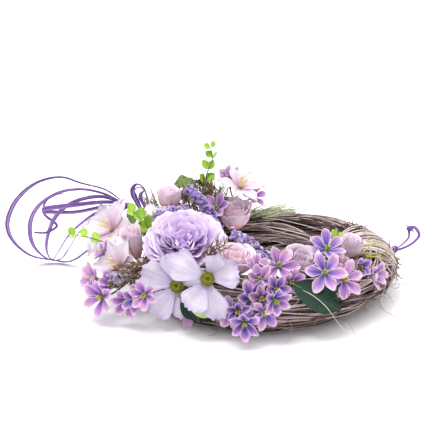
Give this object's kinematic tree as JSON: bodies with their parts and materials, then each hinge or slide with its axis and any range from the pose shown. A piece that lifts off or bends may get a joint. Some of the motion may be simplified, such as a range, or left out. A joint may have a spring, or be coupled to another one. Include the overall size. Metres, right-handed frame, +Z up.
{
  "type": "willow wreath with flowers",
  "caption": "Ring of wound willow twigs, one side dressed with cloth blooms, leaves, dried sprays and a raffia bow, with a raffia hanging loop; it lies flat.",
  "frame": {"origin": "centre of the whole wreath's box, flowers and raffia counted, at the surface that it lies on", "axes": "+X to the right, from the raffia bow to the hanging loop; +Y to the back, away from the viewer; +Z up, out of the wreath's face"},
  "size_m": [0.4714, 0.3141, 0.1411],
  "materials": {
    "willow": "matt, greyed bark",
    "purple_petal": "printed cloth, violet to pink",
    "lilac_petal": "fine ruffled cloth",
    "white_petal": "fine cloth, faint lilac edges",
    "pink_petal": "fine cloth, pale pink",
    "pollen": "flocked, olive yellow",
    "statice": "dried florets",
    "dried_stem": "matt, dry",
    "lime_leaf": "coated cloth",
    "green_leaf": "coated cloth with veins",
    "olive_leaf": "coated cloth, speckled",
    "raffia": "dyed dried leaf strip"
  },
  "bodies": {
    "root": {"cosmos_left": "white_petal", "cosmos_left_heart": "pollen", "cosmos_right": "white_petal", "cosmos_right_heart": "pollen", "eucalyptus_left": "lime_leaf", "eucalyptus_middle": "lime_leaf", "eucalyptus_right": "lime_leaf", "eucalyptus_top": "lime_leaf", "leaf_back_dark": "green_leaf", "leaf_back_olive": "olive_leaf", "leaf_front_right": "green_leaf", "leaf_left_olive": "olive_leaf", "leaf_under_left": "green_leaf", "leaf_under_right": "green_leaf", "lily_back": "white_petal", "lily_left": "white_petal", "lily_top": "white_petal", "lily_white": "white_petal", "peony": "lilac_petal", "raffia_bow": "raffia", "raffia_hanger": "raffia", "raffia_loop": "raffia", "rose_back_left": "pink_petal", "rose_back_right": "pink_petal", "rose_front": "pink_petal", "rose_left": "pink_petal", "rose_mid": "pink_petal", "rose_white": "pink_petal", "stars_back": "purple_petal", "stars_back_left": "purple_petal", "stars_far_left": "purple_petal", "stars_front": "purple_petal", "stars_left": "purple_petal", "stars_middle": "purple_petal", "stars_right": "purple_petal", "statice_left": "statice", "statice_middle": "statice", "statice_pale": "statice", "statice_right": "statice", "twigs_back": "dried_stem", "twigs_back_left": "dried_stem", "twigs_left": "dried_stem", "twigs_rose": "dried_stem", "willow_ring": "willow"}
  },
  "joints": []
}
